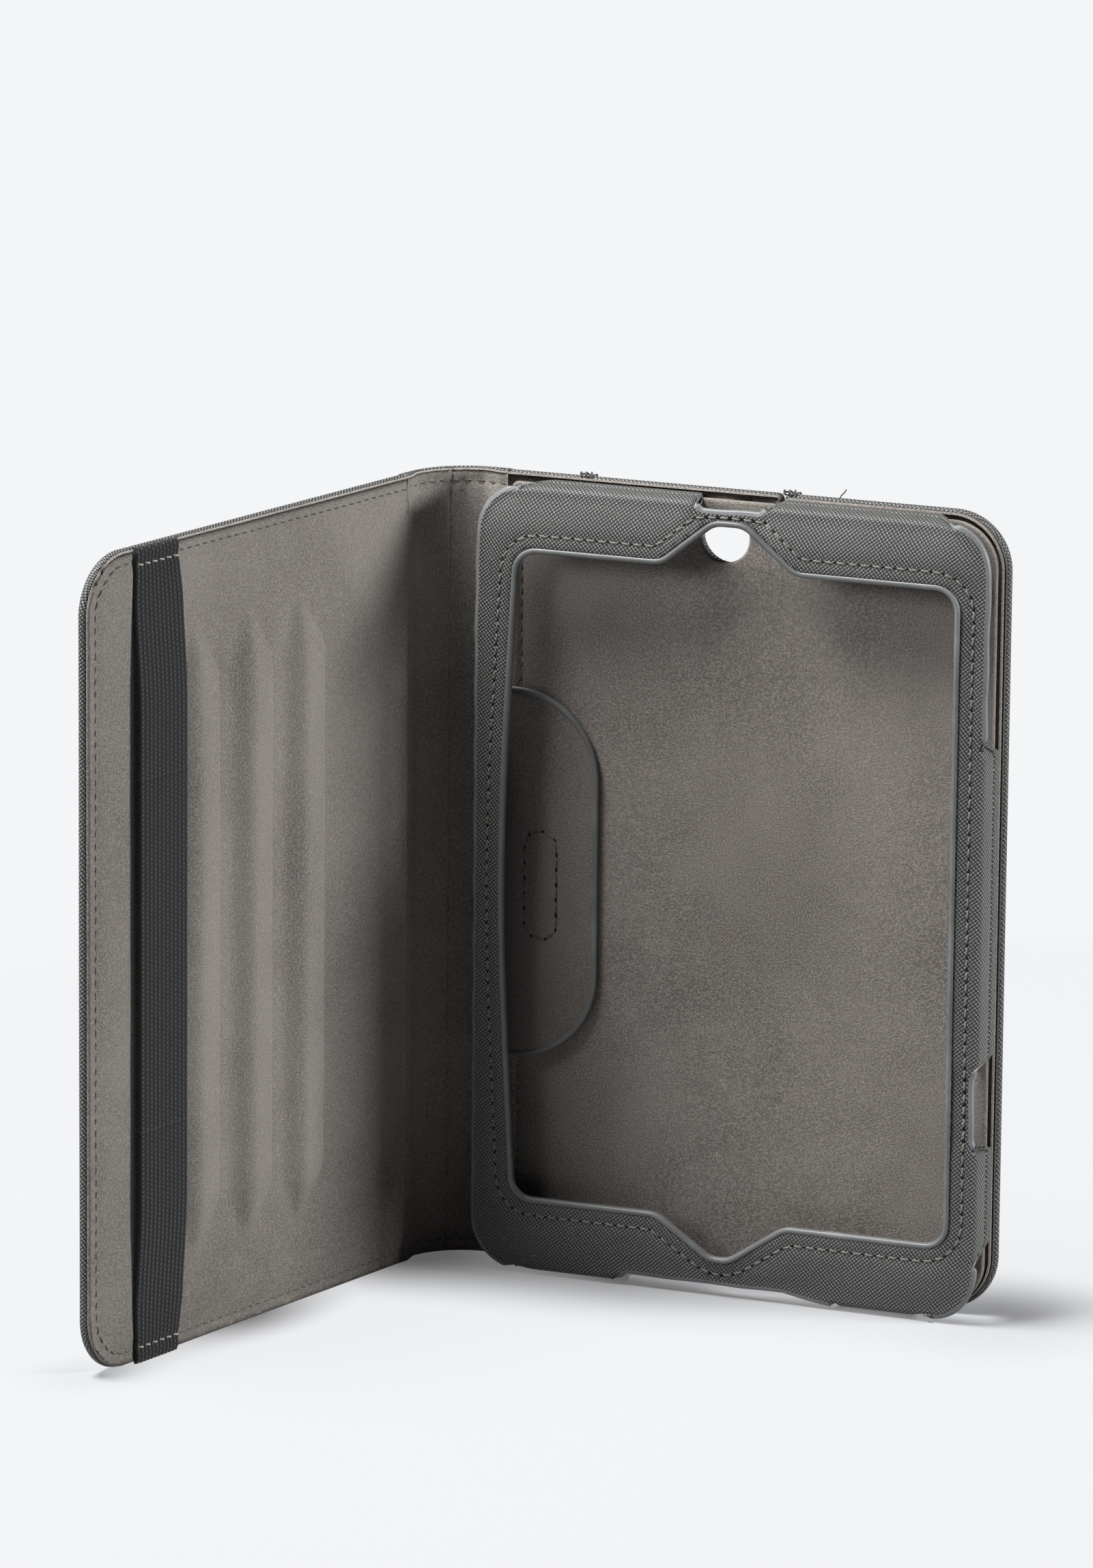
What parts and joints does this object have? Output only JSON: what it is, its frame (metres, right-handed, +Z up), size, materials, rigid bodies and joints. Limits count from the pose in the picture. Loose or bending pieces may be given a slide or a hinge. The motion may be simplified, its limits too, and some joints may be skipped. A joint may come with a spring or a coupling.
{
  "type": "tablet folio stand case",
  "caption": "Leather folio for a small tablet: framed holder with tuck-in tab, back cover that folds out as a stand leg, front cover with stop ridges and an elastic closing band.",
  "frame": {"origin": "on the floor under the middle of the tablet holder, in mid-thickness of the back cover", "axes": "+X to the right along the holder seen from its window, +Y to the back, +Z up"},
  "size_m": [0.1926, 0.1497, 0.209],
  "materials": {
    "grain_leather": "cross-grain, satin",
    "suede": "brushed nap, matt",
    "edge_paint": "smooth painted edge",
    "board": "pressed fibre board",
    "stiff_sheet": "matt sheet",
    "elastic": "ribbed knit",
    "hook_and_loop": "woven hooks"
  },
  "bodies": {
    "holder": {"frame_leather": "grain_leather", "frame_stiffener": "stiff_sheet", "frame_lining": "suede", "window_edge": "edge_paint", "bottom_tab_left": "grain_leather", "bottom_tab_right": "grain_leather", "top_tab_left": "grain_leather", "top_tab_right": "grain_leather", "right_tab_lower": "grain_leather", "right_tab_upper": "grain_leather", "back_lining": "suede", "back_board": "board", "loop_patch": "hook_and_loop", "tab_strap": "grain_leather", "rest_skin": "grain_leather", "rest_board": "board", "rest_lining": "suede"},
    "stand_leg": {"leg_skin": "grain_leather", "leg_board": "board", "leg_lining": "suede"},
    "spine": {"spine_skin": "grain_leather", "spine_lining": "suede"},
    "front_cover": {"cover_skin": "grain_leather", "cover_board": "board", "cover_lining": "suede", "ridge_1": "suede", "ridge_2": "suede", "ridge_3": "suede", "band_tack_top": "elastic", "band_tack_bottom": "elastic"},
    "band": {"elastic_band": "elastic"},
    "tuck_tab": {"tab_leather": "edge_paint", "tab_lining": "suede", "hook_patch": "hook_and_loop"}
  },
  "joints": [
    {"name": "stand_fold", "type": "hinge", "parent": "holder", "child": "stand_leg", "pos_m": [0.0093, 0.0022, 0.1045], "axis": [0, 0, -1], "range_deg": [0, 80]},
    {"name": "spine_fold", "type": "hinge", "parent": "stand_leg", "child": "spine", "pos_m": [-0.0705, 0.0022, 0.1045], "axis": [0, 0, -1], "range_deg": [-52, 105]},
    {"name": "cover_fold", "type": "hinge", "parent": "spine", "child": "front_cover", "pos_m": [-0.08831, -0.01171, 0.1045], "axis": [0, 0, -1], "range_deg": [-52, 105]},
    {"name": "tab_lift", "type": "hinge", "parent": "holder", "child": "tuck_tab", "pos_m": [-0.0683, -0.0049, 0.1045], "axis": [0, 0, -1], "range_deg": [0, 30]},
    {"name": "band_stretch", "type": "slide", "parent": "front_cover", "child": "band", "axis": [0.9703, -0.2419, 0], "range_m": [0, 0.016], "stiffness_N_per_m": 150, "deforming": ["elastic_band"]}
  ]
}
